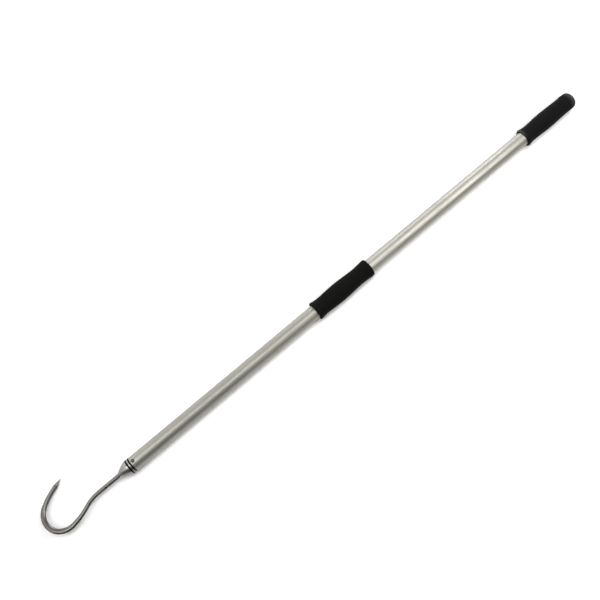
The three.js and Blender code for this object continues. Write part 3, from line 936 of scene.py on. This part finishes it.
# painted light: a lighter, bluer copy of the foam for the rear grip, standing in for the hard light on it from behind
rear_foam = foam("black butt foam", (0.0055, 0.0055, 0.006), (0.011, 0.0113, 0.012), seed=3.7)
ring_rubber = moulded(
    "black ring rubber", (0.002, 0.002, 0.0019), (0.004, 0.004, 0.0038),
    roughness=0.65, gloss=0.05, speckle_scale=2500.0, depth=0.012,
)
plug_plastic = moulded(
    "black plug plastic", (0.012, 0.013, 0.015), (0.018, 0.019, 0.021),
    roughness=0.5, gloss=0.4, speckle_scale=1800.0, depth=0.02,
)
insert_nylon = moulded(
    "white nylon", (0.62, 0.65, 0.69), (0.7, 0.72, 0.74), roughness=0.5, gloss=0.5, speckle_scale=2200.0, depth=0.01
)


# ---- Pieces ----

def tube_piece():
    """The straight tube, with a ring of points on each side of the rivet holes."""
    holes = [rivet_hole_back, rivet_hole_front]
    profile = [
        (tube_bore_radius, tube_back, tube_deburr),
        (tube_radius, tube_back, tube_deburr),
        *between((tube_radius, tube_back), (tube_radius, tube_front), tube_steps)[1:-1],
        *[(tube_radius, station, 0) for station in holes],
        (tube_radius, tube_front, tube_deburr),
        (tube_bore_radius, tube_front, tube_deburr),
        *[(tube_bore_radius, station, 0) for station in reversed(holes)],
    ]
    mesh = drilled("pole_tube", turned("pole_tube", profile, 144))
    shown("tube", mesh, satin_pole, "pole_tube")


def cone_profile():
    """The cone's outside, from its narrow rim over the rounded shoulder to the hook."""
    rim_centre = tube_radius - cone_rim_rounding, cone_back + cone_rim_width
    shoulder = arc(*rim_centre, cone_rim_rounding, 0, cone_rim_turn, 8)
    flank_back = Vector(shoulder[-1][:2])
    flank_front = Vector((cone_tip_radius, cone_front - cone_tip_rounding))
    middle = flank_back.lerp(flank_front, 0.5) + Vector((2 * cone_bulge, 0))
    flank = []
    for k in range(1, 20):
        share = k / 20
        spot = flank_back.lerp(middle, share).lerp(middle.lerp(flank_front, share), share)
        flank.append((spot.x, spot.y, 0))
    return [
        (tube_radius, cone_back, 0.3),
        *shoulder,
        *flank,
        (cone_tip_radius, cone_front - cone_tip_rounding, 0.3),
        (cone_tip_radius - cone_tip_rounding, cone_front, 0.15),
    ]


def nose_piece():
    """The turned nose: spigot, two ring grooves, land, cone, socket for the bar, web and tang bore."""
    land_radius = tube_radius - land_inset
    profile = [
        (hollow_radius, spigot_back, 0.2),
        (spigot_radius - spigot_chamfer, spigot_back, 0.1),
        (spigot_radius, spigot_back + spigot_chamfer, 0.1),
        (spigot_radius, rivet_hole_back, 0),
        (spigot_radius, rivet_hole_front, 0),
        (spigot_radius, tube_front, 0),
        (ring_floor_radius, tube_front, 0.3),
        (ring_floor_radius, land_back, 0.3),
        (land_radius, land_back, 0.25),
        (land_radius, land_front, 0.25),
        (ring_floor_radius, land_front, 0.3),
        (ring_floor_radius, cone_back, 0.3),
        *cone_profile(),
        (bore_radius, cone_front, 0.15),
        (bore_radius, web_front, 0.2),
        (tang_bore_radius, web_front, 0.2),
        (tang_bore_radius, web_back, 0.2),
        (hollow_radius, web_back, 0.4),
        (hollow_radius, rivet_hole_front, 0),
        (hollow_radius, rivet_hole_back, 0),
    ]
    mesh = drilled("nose_cone", turned("nose_cone", profile, 128))
    shown("nose", mesh, turned_nose, "nose_cone")


def ring_piece(name, node, slot_back, squeezed_out):
    """A rubber ring squeezed flat against its slot's walls, with a faint moulding seam round its outside."""
    centre = slot_back + ring_slot / 2
    half_width = ring_slot / 2 - ring_wall_gap
    half_height = ring_section / 2
    profile = []
    for k in range(36):
        angle = math.pi / 2 - 2 * math.pi * k / 36
        seam = ring_seam if k == 0 else 0.0
        out, along = math.sin(angle), math.cos(angle)
        height = half_height + seam + (squeezed_out if out > 0 else 0.0)
        width = half_width * (1 + ring_spread_share * max(0.0, out))
        profile.append((
            ring_centre_radius + height * math.copysign(abs(out) ** ring_outer_power, out),
            centre + width * math.copysign(abs(along) ** ring_side_power, along),
            0,
        ))
    mesh = turned(name, profile[::-1], 128)
    shown(name, mesh, ring_rubber, node, crease=60)


def hook_blank():
    """The straight bar of the hook: threaded tang, shoulder, bar and ground point, with stations from its end, and
    painted shade marked just behind the point.
    """
    shoulder = bar_back - tang_back
    point_back = hook_length - point_length
    tang_back_end, tang_front_end = tang_chamfer, shoulder - tang_chamfer
    bar_back_end, bar_front_end = shoulder + 1, point_back - 2
    tang_steps = round((tang_front_end - tang_back_end) / 0.125)
    bar_steps = round((bar_front_end - bar_back_end) / 1.2)
    foot_radius, foot = bar_radius - point_shoulder, point_back + point_shoulder
    tip = hook_length - point_tip_radius
    profile = [
        (0, 0, 0),
        (tang_radius - tang_chamfer, 0, 0),
        *between((tang_radius, tang_back_end), (tang_radius, tang_front_end), tang_steps),
        (tang_radius, shoulder, 0.2),
        (bar_radius, shoulder, 0.4),
        *between((bar_radius, bar_back_end), (bar_radius, bar_front_end), bar_steps),
        (bar_radius, point_back - 1.5, 0),
        (bar_radius, point_back - 0.8, 0),
        (bar_radius, point_back, 0.12),
        (foot_radius, foot, 0.3),
    ]
    for k in range(1, 25):
        share = k / 24
        radius = foot_radius + (point_tip_radius - foot_radius) * share ** point_taper_power
        profile.append((radius, foot + (tip - foot) * share, 0))
    profile += arc(0, tip, point_tip_radius, 0, math.pi / 2, 4)[1:-1] + [(0, hook_length, 0)]
    mesh = turned("hook", profile, 48, closed=False)
    ground = mesh.attributes.new("ground", "FLOAT", "POINT")
    edge = mesh.attributes["edge"]
    for vert in mesh.vertices:
        past = vert.co.x / MM - point_back
        is_ground = past > point_shoulder - 0.1
        ground.data[vert.index].value = 1.0 if is_ground else 0.0
        # painted shade: a dark ring just behind the point's shoulder, marked as an inward corner
        if past > -point_shade_reach and not is_ground:
            edge.data[vert.index].value = -1.0
    return mesh


def hook_line():
    """The hook's centreline as a curve, one point every half millimetre."""
    line = bpy.data.curves.new("hook_line", "CURVE")
    line.dimensions = "3D"
    steps = round(hook_length * 2)
    spline = line.splines.new("POLY")
    spline.points.add(steps)
    for k in range(steps + 1):
        x, y, _ = hook_place(hook_length * k / steps)
        spline.points[k].co = (x * MM, y * MM, 0, 1)
    return holder("hook_line", line)


def hook_piece():
    """The hook: its turned bar carried onto its line, threaded and forged."""
    line = hook_line()
    throat, bend, leg = legs[2:5]
    fade = forge_fade_share * bend["span"]
    mesh = by_rule(
        "hook", hook_blank(), forged_hook_tree(),
        hook_line=line,
        thread_end=(bar_back - tang_back - 0.8) * MM,
        forge_starts=throat["from"] * MM,
        forge_full=(bend["from"] + fade) * MM,
        forge_fades=(leg["from"] - fade) * MM,
        forge_ends=(leg["from"] + leg["span"]) * MM,
        finish=hook_steel,
    )
    bpy.data.objects.remove(line)
    shown("steel_hook", mesh, hook_steel, "hook")


def washer_piece():
    """The flat washer under the nut."""
    profile = [
        (tang_bore_radius, washer_back, 0.15),
        (washer_radius, washer_back, 0.35),
        (washer_radius, washer_front, 0.15),
        (tang_bore_radius, washer_front, 0.3),
    ]
    shown("washer", turned("washer", profile, 72), bright_steel, "hook_washer")


def nut_piece():
    """The lock nut: a turned blank with steps enough for its flats and its thread, and a collar for the nylon."""
    corner = nut_flat_width / 2 / math.cos(math.pi / nut_sides)
    flat_back, flat_front = nut_hex_back + nut_chamfer - nut_step, nut_front - 2 * nut_chamfer
    bore, mouth = tang_radius + nut_bore_air, nut_front - nut_mouth_depth
    profile = [
        (insert_seat_radius, nut_back, 0.1),
        (nut_collar_radius, nut_back, 0.35),
        (nut_collar_radius, nut_hex_back - nut_step, 0.1),
        (nut_collar_radius + 3 * nut_step, nut_hex_back, 0.05),
        (corner - nut_chamfer, nut_hex_back + nut_step, 0.15),
        *between((corner, flat_back), (corner, flat_front), 9),
        (corner, nut_front - nut_chamfer, 0.1),
        (corner - nut_chamfer, nut_front, 0.15),
        (tang_radius + nut_mouth_width, nut_front, 0.05),
        *between((bore, mouth), (bore, nut_hex_back), 40)[:-1],
        (insert_seat_radius, nut_hex_back, 0.1),
    ]
    mesh = by_rule("lock_nut", turned("lock_nut", profile, 96), hexagon_nut_tree(), finish=bright_steel)
    shown("lock_nut", mesh, bright_steel, "hook_lock_nut")


def insert_piece():
    """The nylon ring in the lock nut's collar."""
    inner = tang_radius + press_gap
    profile = [
        (inner, nut_back + press_gap, 0.2),
        (inner + insert_wall, nut_back + press_gap, 0.2),
        (inner + insert_wall, nut_hex_back - press_gap, 0.1),
        (inner, nut_hex_back - press_gap, 0.15),
    ]
    shown("nylon_ring", turned("nylon_ring", profile, 72), insert_nylon, "lock_nut_insert")


def rivet_blank():
    """A set rivet turned about the X axis, its head at the far end: domed head, shank and swelled tail."""
    shank = rivet_hole_radius - press_gap
    head_bottom = tube_radius + head_gap
    dome_rise = rivet_head_top - rivet_rim_top
    dome_turn = math.acos((rivet_bore_radius + rivet_lip_width) / rivet_head_radius)
    dome = arc(0, 0, 1, 0, dome_turn, 12)
    profile = [
        (rivet_bore_radius, rivet_tail_end, 0.1),
        (rivet_tail_radius - press_gap, rivet_tail_end, 0.3),
        (rivet_tail_radius, rivet_tail_end + rivet_tail_swell, 0.3),
        (rivet_tail_radius, rivet_tail_top - rivet_tail_swell, 0.3),
        (shank, rivet_tail_top, 0.1),
        (shank, head_bottom, 0.05),
        *between((shank, head_bottom), (rivet_head_radius, head_bottom), 6)[1:-1],
        (rivet_head_radius, head_bottom, 0.06),
        *[(rivet_head_radius * out, rivet_rim_top + dome_rise * up, 0) for out, up, _ in dome],
        (rivet_bore_radius, rivet_head_top - rivet_lip_drop, 0.05),
    ]
    return turned("rivet", profile, 64)


def stem_blank():
    """The stem left in a set rivet: its wide end under the tail and its broken end in the head."""
    radius = rivet_bore_radius - press_gap
    wide = (rivet_bore_radius + rivet_tail_radius) / 2
    wide_top = rivet_tail_end - press_gap
    wide_bottom = wide_top - rivet_stem_head_height
    broken_end = rivet_head_top - rivet_stem_recess - rivet_stem_break_drop
    profile = [
        (0, wide_bottom, 0),
        (radius, wide_bottom, 0.2),
        (wide, wide_bottom + rivet_stem_head_height / 2, 0.2),
        (wide, wide_top, 0.15),
        (radius, wide_top, 0.05),
        (radius, broken_end - rivet_stem_break_drop, 0.05),
        *between((radius, broken_end), (0, broken_end), 7)[1:],
    ]
    return turned("stem", profile, 40, closed=False)


rivet_tree = set_rivet_tree()


def rivet_pieces(side, turn):
    """A set rivet and the stem left in it, on one side of the pole."""
    rivet = by_rule("rivet", rivet_blank(), rivet_tree, side_turn=turn, finish=rivet_alloy)
    depth = rivet_stem_break_depth * MM
    stem = by_rule("stem", stem_blank(), rivet_tree, side_turn=turn, break_roughness=depth, finish=stem_steel)
    shown(side + "_set_rivet", rivet, rivet_alloy, side + "_rivet")
    shown(side + "_broken_stem", stem, stem_steel, side + "_rivet_stem", crease=50)


def catmull(knots, steps):
    """Profile points along a smooth curve through the knots."""
    points = []
    last = len(knots) - 1
    for k in range(steps + 1):
        place = last * k / steps
        i = min(int(place), last - 1)
        t = place - i
        p0, p1 = knots[max(i - 1, 0)], knots[i]
        p2, p3 = knots[i + 1], knots[min(i + 2, last)]
        v0, v1 = (p2 - p0) / 2, (p3 - p1) / 2
        spot = (2 * p1 - 2 * p2 + v0 + v1) * t ** 3 + (3 * p2 - 3 * p1 - 2 * v0 - v1) * t ** 2 + v0 * t + p1
        points.append((spot.x, spot.y, 0))
    return points


def grip_wave(front, thinning, tail_share, tail_radius):
    """The waved outside that both grips share, from the front lip back to the tail."""
    neck = grip_bore_radius + grip_neck_wall - thinning
    crown = grip_bore_radius + grip_crown_wall - thinning
    flare = neck + (grip_lip_radius - neck) * grip_flare_rise_share
    waist = grip_bore_radius + grip_waist_wall
    wave = (
        (flare, grip_flare_share), (neck, grip_neck_share), (crown, grip_crown_share), (waist, grip_waist_share),
        (tail_radius, tail_share),
    )
    knots = [Vector((grip_lip_radius, front - grip_lip_width))]
    knots += [Vector((radius, front - share * grip_length)) for radius, share in wave]
    return catmull(knots, 150)


foam_tree = foam_skin_tree()


def grip_piece(name, node, profile, ends, material, seed, highlight_spots=()):
    """A foam grip, with its cut end faces and the stretches that get a painted highlight marked for the finish."""
    mesh = turned(name, profile, 160)
    cut = mesh.attributes.new("cut", "FLOAT", "POINT")
    painted_highlight = mesh.attributes.new("painted_highlight", "FLOAT", "POINT")
    cut_marks, highlight_marks = [], []
    for vert in mesh.vertices:
        radius = math.hypot(vert.co.y, vert.co.z) / MM
        station = vert.co.x / MM
        # cut end faces: coarser open cells, and a painted highlight where they catch light
        on_end = any(abs(station - end) < 0.25 for end in ends)
        cut_marks.append(1.0 if on_end and radius > grip_bore_radius - 0.1 else 0.0)
        # how far a point faces up and towards -Y, the side the lamps light, where the lip's painted highlight goes
        upper = max(0.0, (vert.co.z - vert.co.y) / MM / max(radius, 1) * 0.7)
        highlight = 0.0
        for place, reach, is_upper_only in highlight_spots:
            near = max(0.0, 1 - abs(station - place) / reach)
            highlight = max(highlight, near * upper if is_upper_only else near)
        highlight_marks.append(highlight)
    cut.data.foreach_set("value", cut_marks)
    painted_highlight.data.foreach_set("value", highlight_marks)
    mesh = by_rule(name, mesh, foam_tree, seed=seed, finish=material)
    piece = shown(name, mesh, material, node, crease=50)


def middle_grip_piece():
    """The middle grip: a lip at each end and a crowned middle, open at both ends."""
    front = tube_front - middle_grip_setback
    back = front - grip_length
    tail_radius = grip_bore_radius + middle_grip_tail_wall
    rounding = middle_grip_tail_rounding
    lip = grip_lip_rounding
    profile = [
        (grip_bore_radius, front, 0.3),
        (grip_bore_radius + middle_grip_lip_flat, front, 0),
        *arc(grip_lip_radius - lip, front - lip, lip, math.pi / 2, 0, 8),
        *grip_wave(front, 0, middle_grip_tail_share, tail_radius),
        *arc(tail_radius - rounding, back + rounding, rounding, 0, -math.pi / 2, 10),
        (grip_bore_radius, back, 0.3),
        *between((grip_bore_radius, back), (grip_bore_radius, front), 40)[1:-1],
    ]
    grip_piece("middle_foam_grip", "middle_grip", profile[::-1], [front, back], middle_foam, 3.0)


def rear_grip_piece():
    """The rear grip: a lip at its open front, and a heel that closes over the tube's end."""
    front = rear_grip_length
    inside = rear_grip_butt_thickness
    butt = -rear_grip_butt_bulge
    heel = grip_bore_radius + rear_grip_heel_wall
    rounding = rear_grip_butt_rounding
    lip = rear_grip_lip_rounding
    wave = grip_wave(front, rear_grip_thinning, rear_grip_heel_share, heel)
    profile = [
        (0, inside, 0),
        (grip_bore_radius, inside, 0.5),
        *between((grip_bore_radius, inside), (grip_bore_radius, front), 40)[1:-1],
        (grip_bore_radius, front, 0.3),
        (grip_bore_radius + rear_grip_lip_flat, front, 0),
        *arc(grip_lip_radius - rear_grip_lip_inset - lip, front - lip, lip, math.pi / 2, 0.2, 10),
        *[point for point in wave if point[1] < front - lip],
        *arc(heel - rounding, butt + rounding, rounding, 0, -math.pi / 2, 24),
        *between((heel - rounding, butt), (0, butt), 8)[1:],
    ]
    # painted highlights: all round the butt, and on the lit upper side of the lip
    highlight_spots = [(-1, butt_highlight_reach, False), (front, lip_highlight_reach, True)]
    grip_piece("rear_foam_grip", "rear_grip", profile[::-1], [front], rear_foam, 8.0, highlight_spots)


def plug_piece():
    """The plug in the tube's end: a flange, a cupped stub and its sealing ribs."""
    rib_radius = tube_bore_radius - slip_gap
    stub_radius = rib_radius - plug_rib_height
    cup_radius = stub_radius - plug_wall
    stub_front = plug_flange_front + plug_length
    profile = [
        (0, plug_back, 0),
        (tube_radius, plug_back, 0.4),
        (tube_radius, plug_flange_front, 0.3),
        (stub_radius, plug_flange_front, 0.4),
        (stub_radius, stub_front, 0.5),
        (cup_radius, stub_front, 0.3),
        (cup_radius, plug_flange_front, 0.8),
        (0, plug_flange_front, 0),
    ]
    first = plug_flange_front + plug_rib_pitch
    rib_profile = [
        (stub_radius - 0.2, first - plug_rib_width, 0),
        (stub_radius, first - plug_rib_width, 0.1),
        (rib_radius, first - plug_rib_width / 2, 0.2),
        (stub_radius, first, 0.1),
        (stub_radius - 0.2, first, 0),
    ]
    rib = holder("plug_rib", turned("plug_rib", rib_profile, 96))
    plug = turned("butt_plug", profile, 96, closed=False)
    mesh = by_rule("butt_plug", plug, plug_ribs_tree(), rib=rib, finish=plug_plastic)
    bpy.data.objects.remove(rib)
    shown("end_plug", mesh, plug_plastic, "butt_plug")


tube_piece()
nose_piece()
ring_piece("tube_end_ring", "tube_end_o_ring", tube_front, tube_end_ring_bulge)
ring_piece("cone_ring", "cone_o_ring", land_front, cone_ring_bulge)
hook_piece()
washer_piece()
nut_piece()
insert_piece()
rivet_pieces("upper", 0.0)
rivet_pieces("lower", math.pi)
middle_grip_piece()
rear_grip_piece()
plug_piece()


# ---- Camera, floor and light ----

camera_data = bpy.data.cameras.new("camera")
camera_data.sensor_width = 36
camera_data.lens = 48.891
camera_data.clip_start = 0.01
camera_data.clip_end = 100
camera = holder("camera", camera_data)
right = Vector((-0.76225, 0.64728, 0.0)).normalized()
back = Vector((0.13897, 0.16365, 0.97668)).normalized()
upward = back.cross(right).normalized()
right = upward.cross(back)
turn = Matrix((right, upward, back)).transposed().to_4x4()
camera.matrix_world = Matrix.Translation((0.815105, 0.197359, 1.373924)) @ turn
bpy.context.scene.camera = camera

floor_reach = 12
floor_gap = 0.15
gaff_middle = 0.6


def ray_kinds(tree):
    """Whether a ray comes from the camera, and whether it comes by way of metal or glass."""
    path = add(tree, "ShaderNodeLightPath")
    return path["Is Camera Ray"], maths("MAXIMUM", path["Is Glossy Ray"], path["Is Transmission Ray"])


def white_floor():
    """A white sheet under the gaff that keeps its shadow, and shows as white to the camera and in the metal."""
    material, _, place = finish("white floor")
    tree = material.node_tree
    tree.nodes.remove(tree.nodes["Principled BSDF"])
    seen, mirrored = ray_kinds(tree)
    sheet = blend_colours(seen, (0.9, 0.9, 0.895, 1), (1.15, 1.15, 1.145, 1))
    matt = add(tree, "ShaderNodeBsdfDiffuse", {"Color": sheet})[0]
    along, across, _ = add(tree, "ShaderNodeSeparateXYZ", {0: place})
    past_sides = ramp(maths("ABSOLUTE", across), 0.3, 0.7, smooth=True)
    past_ends = ramp(maths("ABSOLUTE", along - gaff_middle), 0.9, 1.3, smooth=True)
    far_sheet = maths("MAXIMUM", past_sides, past_ends) * seen
    shine = maths("MAXIMUM", mirrored * 0.1, far_sheet)
    glow = add(tree, "ShaderNodeEmission", {"Color": (1, 1, 0.99, 1), "Strength": shine})[0]
    both = add(tree, "ShaderNodeAddShader", {0: matt, 1: glow})[0]
    wire(both, tree.nodes["Material Output"].inputs["Surface"])
    mesh = bpy.data.meshes.new("floor")
    shape = bmesh.new()
    bmesh.ops.create_grid(shape, x_segments=1, y_segments=1, size=floor_reach)
    shape.to_mesh(mesh)
    shape.free()
    mesh.transform(Matrix.Translation((gaff_middle, 0, -(grip_lip_radius + floor_gap) * MM)))
    mesh.materials.append(material)
    floor = holder("floor", mesh)


def studio_room():
    """A dark room with a low white backdrop, higher on the gaff's left, that shows as white to the camera."""
    world = bpy.data.worlds.new("room")
    bpy.context.scene.world = world
    world.use_nodes = True
    tree = world.node_tree
    tree.nodes.clear()
    _, sideways, upwards = add(tree, "ShaderNodeSeparateXYZ", {0: add(tree, "ShaderNodeTexCoord")["Generated"]})
    low_wall = ramp(upwards, 0.03, 0.18, 1.0, 0.0, smooth=True)
    on_left = ramp(sideways, -0.85, -0.4, 1.0, 0.0, smooth=True)
    left_wall = on_left * ramp(upwards, 0.35, 0.6, 1.0, 0.0, smooth=True)
    seen, mirrored = ray_kinds(tree)
    level = maths("MAXIMUM", seen, mirrored * maths("MAXIMUM", low_wall, left_wall))
    room = add(tree, "ShaderNodeBackground", {"Color": (1, 1, 1, 1), "Strength": level})[0]
    wire(room, add(tree, "ShaderNodeOutputWorld").node.inputs["Surface"])


def soft_box(name, place, aim, size, power):
    """A square lamp behind a cloth, aimed at a point."""
    lamp = bpy.data.lights.new(name, "AREA")
    lamp.shape = "RECTANGLE"
    lamp.size, lamp.size_y = size
    lamp.energy = power
    box = holder(name, lamp)
    box.location = place
    box.rotation_mode = "QUATERNION"
    box.rotation_quaternion = (Vector(aim) - Vector(place)).to_track_quat("-Z", "Y")
    box.visible_camera = False


white_floor()
studio_room()
soft_box("high box", (0.0, -0.2, 2.4), (0.3, 0, 0), (0.8, 0.5), 14.9)
soft_box("nose box", (1.2, -0.2, 1.5), (1.2, -0.2, 0), (0.8, 0.42), 5.9)
soft_box("hook box", (1.6, -0.5, 1.2), (0.6, 0, 0), (1.0, 0.7), 4.3)
soft_box("far hook box", (2.1, -0.05, 1.5), (2.1, -0.05, 0), (1.3, 1.0), 3.4)
soft_box("front panel", (2.6, -0.85, 1.05), (1.05, 0, 0), (1.4, 1.1), 5.5)
soft_box("left hook panel", (1.7, -2.0, 0.7), (0.6, 0, 0), (1.2, 0.9), 5.0)
soft_box("butt box", (-0.7, -0.3, 1.5), (0.6, 0, 0), (0.55, 0.35), 5.7)
soft_box("near butt lamp", (0.0, 0.35, 0.9), (0.15, 0, 0), (0.35, 0.3), 4.73)
soft_box("right fill", (0.0, 1.4, 1.5), (0.6, 0, 0), (0.55, 0.35), 3.4)
soft_box("left butt panel", (-0.5, -2.0, 0.7), (0.6, 0, 0), (1.2, 0.9), 19.0)

bpy.context.scene.view_settings.view_transform = "Standard"
